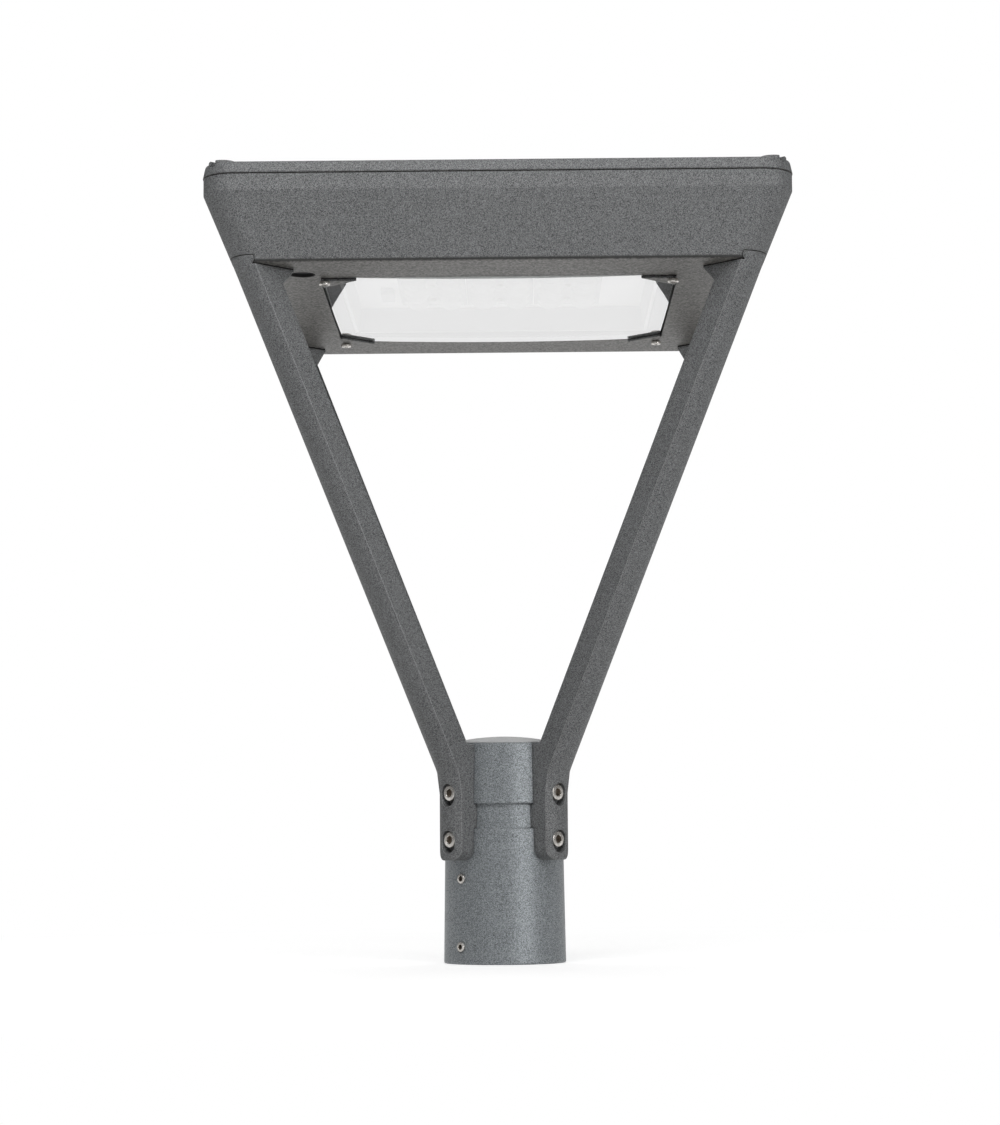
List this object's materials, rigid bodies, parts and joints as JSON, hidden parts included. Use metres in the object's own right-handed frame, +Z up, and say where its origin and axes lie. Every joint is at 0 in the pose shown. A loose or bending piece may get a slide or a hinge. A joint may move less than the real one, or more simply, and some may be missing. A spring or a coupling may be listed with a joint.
{
  "type": "led street light",
  "caption": "Post-top LED street light: a square tapered head with a glass window below, on diagonal cast legs bolted round a spigot that slips over a post.",
  "frame": {"origin": "centre of the spigot's lower rim", "axes": "+Z up along the post, -Y to the front, +X to the right seen from the front"},
  "size_m": [0.46, 0.46, 0.6272],
  "materials": {
    "powder_coat": "fine textured dark grey powder coat on cast aluminium",
    "stainless_steel": "bright stainless steel",
    "black_rubber": "matt black rubber",
    "clear_glass": "clear flat tempered glass",
    "grey_silicone": "pale grey silicone",
    "white_reflector": "matt white coated sheet",
    "white_board": "white solder mask on an aluminium board",
    "clear_lens": "clear moulded acrylic",
    "yellow_phosphor": "yellow phosphor",
    "grey_connector": "grey moulded plastic",
    "bare_aluminium": "milled aluminium sheet",
    "driver_case": "pale grey potted case",
    "surge_case": "black potted case",
    "terminal_plastic": "grey moulded plastic"
  },
  "bodies": {
    "root": {"blanking_plug": "black_rubber", "board_connector": "grey_connector", "clip_pad_front_left": "black_rubber", "clip_pad_front_right": "black_rubber", "clip_pad_rear_left": "black_rubber", "clip_pad_rear_right": "black_rubber", "gear_plate": "bare_aluminium", "gear_plate_screws": "stainless_steel", "glass_clip_front_left": "powder_coat", "glass_clip_front_right": "powder_coat", "glass_clip_rear_left": "powder_coat", "glass_clip_rear_right": "powder_coat", "glass_clip_screws": "stainless_steel", "head_housing": "powder_coat", "led_board": "white_board", "led_driver": "driver_case", "led_emitters": "yellow_phosphor", "leg_foot_screws": "stainless_steel", "leg_front_left": "powder_coat", "leg_front_right": "powder_coat", "leg_rear_left": "powder_coat", "leg_rear_right": "powder_coat", "leg_seal_front_left": "black_rubber", "leg_seal_front_right": "black_rubber", "leg_seal_rear_left": "black_rubber", "leg_seal_rear_right": "black_rubber", "leg_top_screws": "stainless_steel", "lens_module_1": "clear_lens", "lens_module_2": "clear_lens", "lens_module_3": "clear_lens", "lens_module_4": "clear_lens", "lens_module_5": "clear_lens", "lens_module_6": "clear_lens", "lens_module_7": "clear_lens", "lens_module_8": "clear_lens", "lens_module_9": "clear_lens", "lens_screws": "stainless_steel", "lid": "powder_coat", "lid_gasket": "black_rubber", "lid_screws": "stainless_steel", "post_set_screws": "stainless_steel", "post_spigot": "powder_coat", "reflector_tray": "white_reflector", "spigot_cap": "powder_coat", "surge_protector": "surge_case", "terminal_block": "terminal_plastic", "window_gasket": "grey_silicone", "window_glass": "clear_glass"}
  },
  "joints": []
}
